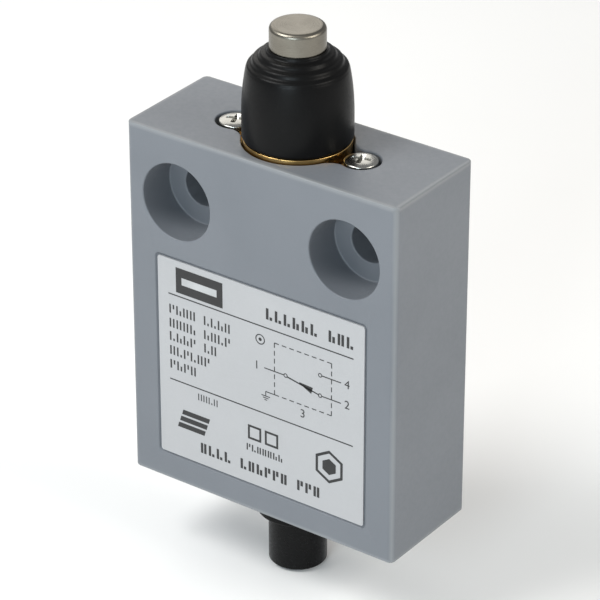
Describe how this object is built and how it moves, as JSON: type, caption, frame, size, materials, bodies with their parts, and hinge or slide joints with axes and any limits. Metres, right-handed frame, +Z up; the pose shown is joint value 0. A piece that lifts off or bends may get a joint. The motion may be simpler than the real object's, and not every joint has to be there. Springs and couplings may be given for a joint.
{
  "type": "limit switch",
  "caption": "Compact pre-wired plunger limit switch in a flat die-cast housing, with a rubber boot, through mounting holes and a short cable stub.",
  "frame": {"origin": "midway between the two mounting holes, on the mounting face at the back of the housing", "axes": "+X to the right seen from the front, +Y out of the mounting face towards what the switch is fastened to, +Z up along the plunger"},
  "size_m": [0.04, 0.016, 0.0746],
  "materials": {
    "painted_zinc": "satin blue-grey paint on die-cast zinc",
    "nitrile_rubber": "matte black",
    "plated_steel": "zinc plated, bright",
    "plate_foil": "matt silver foil with printed graphics",
    "brass": "turned brass",
    "boot_rubber": "satin black moulded rubber",
    "stainless_steel": "turned and brushed",
    "spring_steel": "drawn wire",
    "case_plastic": "moulded phenolic",
    "button_plastic": "moulded nylon",
    "contact_bronze": "rolled beryllium copper",
    "contact_silver": "silver alloy",
    "grommet_rubber": "satin black",
    "jacket_vinyl": "semi-gloss black vinyl",
    "core_white": "extruded vinyl",
    "core_black": "extruded vinyl",
    "core_red": "extruded vinyl",
    "core_green": "extruded vinyl, green with a yellow stripe"
  },
  "bodies": {
    "body": {"housing": "painted_zinc", "back_cover": "painted_zinc", "cover_gasket": "nitrile_rubber", "cover_screws": "plated_steel", "rating_plate": "plate_foil", "flange_gasket": "nitrile_rubber", "plunger_bushing": "brass", "flange_screws": "plated_steel", "boot": "boot_rubber", "plunger_seal": "nitrile_rubber", "return_spring": "spring_steel", "overtravel_spring": "spring_steel", "switch_base": "case_plastic", "switch_cover": "case_plastic", "com_terminal": "brass", "no_terminal": "brass", "nc_terminal": "brass", "no_contact": "contact_silver", "nc_contact": "contact_silver", "cable_grommet": "grommet_rubber", "cable_clamp": "plated_steel", "cable_jacket": "jacket_vinyl", "core_white": "core_white", "core_black": "core_black", "core_red": "core_red", "core_ground": "core_green", "ground_lug": "plated_steel", "ground_screw": "plated_steel"},
    "plunger": {"plunger": "stainless_steel"},
    "inner_plunger": {"inner_plunger": "stainless_steel", "switch_button": "button_plastic"},
    "contact_arm": {"contact_arm": "contact_bronze", "moving_contact": "contact_silver", "snap_spring": "contact_bronze"}
  },
  "joints": [
    {"name": "plunger_travel", "type": "slide", "parent": "body", "child": "plunger", "axis": [0, 0, -1], "range_m": [0, 0.0048], "stiffness_N_per_m": 1500, "springref_m": -0.004, "deforming": ["boot", "return_spring", "overtravel_spring"]},
    {"name": "button_travel", "type": "slide", "parent": "body", "child": "inner_plunger", "axis": [0, 0, -1], "range_m": [0, 0.0006]},
    {"name": "contact_swing", "type": "hinge", "parent": "body", "child": "contact_arm", "pos_m": [-0.0105, -0.008, -0.014], "axis": [0, 1, 0], "range_deg": [0, 3.31]}
  ],
  "couplings": [
    {"joint": "button_travel", "follows": "plunger_travel", "ratio": 0.125},
    {"joint": "contact_swing", "follows": "plunger_travel", "rad_per_m": 12}
  ]
}
